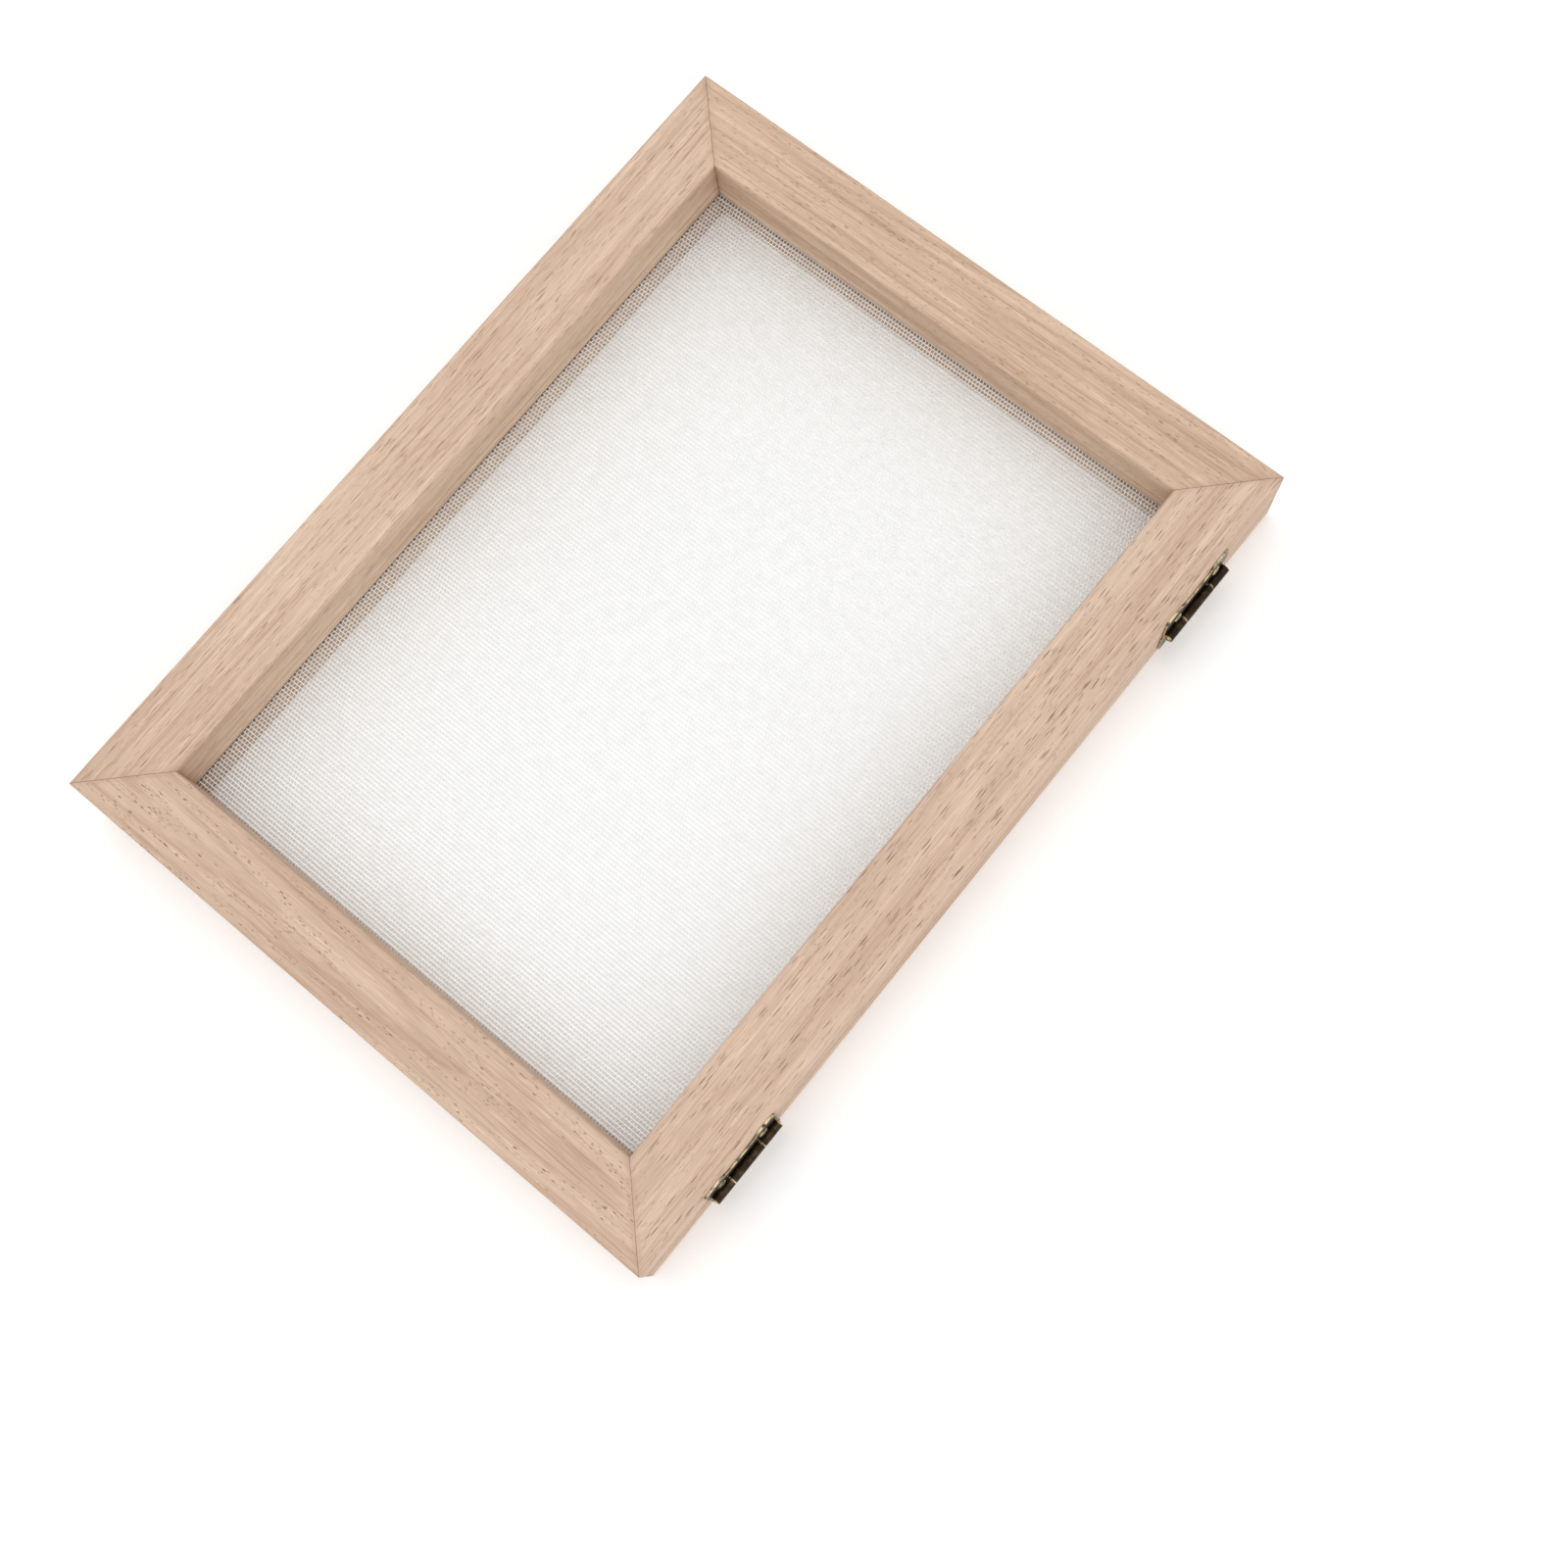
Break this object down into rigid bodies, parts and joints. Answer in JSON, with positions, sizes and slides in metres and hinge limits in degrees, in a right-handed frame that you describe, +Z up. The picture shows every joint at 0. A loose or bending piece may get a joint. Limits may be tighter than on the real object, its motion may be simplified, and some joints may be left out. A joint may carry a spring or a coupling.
{
  "type": "hinged screen frame",
  "caption": "Rectangular wooden screen frame in two mitred layers, hinged along one long side, with a stretched open net clamped in the lower layer for forming or pressing sheets.",
  "frame": {"origin": "middle of the underside of the whole object's box, hinge barrels included", "axes": "+X along the long sides, +Y from the hinge side to the opening side, +Z up"},
  "size_m": [0.25, 0.1918, 0.024],
  "materials": {
    "upper_rail_wood": "sanded bare, open pores",
    "lower_rail_wood": "sanded bare, open pores",
    "strip_wood": "sanded bare",
    "screen_mesh": "white nylon net, open staggered cells",
    "hinge_bronze": "antiqued, dark with rubbed edges",
    "fastener_steel": "bright zinc"
  },
  "bodies": {
    "lower_frame": {"lower_rail_hinge_side": "lower_rail_wood", "lower_rail_right": "lower_rail_wood", "lower_rail_opening_side": "lower_rail_wood", "lower_rail_left": "lower_rail_wood", "screen_strip_hinge_side": "strip_wood", "screen_strip_right": "strip_wood", "screen_strip_opening_side": "strip_wood", "screen_strip_left": "strip_wood", "mesh_screen": "screen_mesh", "screen_staple_hinge_side_1": "fastener_steel", "screen_staple_hinge_side_2": "fastener_steel", "screen_staple_hinge_side_3": "fastener_steel", "screen_staple_right_1": "fastener_steel", "screen_staple_right_2": "fastener_steel", "screen_staple_opening_side_1": "fastener_steel", "screen_staple_opening_side_2": "fastener_steel", "screen_staple_opening_side_3": "fastener_steel", "screen_staple_left_1": "fastener_steel", "screen_staple_left_2": "fastener_steel", "v_nail_lower_hinge_right": "fastener_steel", "v_nail_lower_opening_right": "fastener_steel", "v_nail_lower_opening_left": "fastener_steel", "v_nail_lower_hinge_left": "fastener_steel", "hinge_left_lower_leaf": "hinge_bronze", "hinge_left_pin": "hinge_bronze", "hinge_left_lower_nail_left": "hinge_bronze", "hinge_left_lower_nail_right": "hinge_bronze", "hinge_right_lower_leaf": "hinge_bronze", "hinge_right_pin": "hinge_bronze", "hinge_right_lower_nail_left": "hinge_bronze", "hinge_right_lower_nail_right": "hinge_bronze"},
    "upper_frame": {"upper_rail_hinge_side": "upper_rail_wood", "upper_rail_right": "upper_rail_wood", "upper_rail_opening_side": "upper_rail_wood", "upper_rail_left": "upper_rail_wood", "v_nail_upper_hinge_right": "fastener_steel", "v_nail_upper_opening_right": "fastener_steel", "v_nail_upper_opening_left": "fastener_steel", "v_nail_upper_hinge_left": "fastener_steel", "hinge_left_upper_leaf": "hinge_bronze", "hinge_left_upper_nail_left": "hinge_bronze", "hinge_left_upper_nail_right": "hinge_bronze", "hinge_right_upper_leaf": "hinge_bronze", "hinge_right_upper_nail_left": "hinge_bronze", "hinge_right_upper_nail_right": "hinge_bronze"}
  },
  "joints": [
    {"name": "upper_frame_fold", "type": "hinge", "parent": "lower_frame", "child": "upper_frame", "pos_m": [0, -0.09455, 0.0131], "axis": [1, 0, 0], "range_deg": [0, 180]}
  ]
}
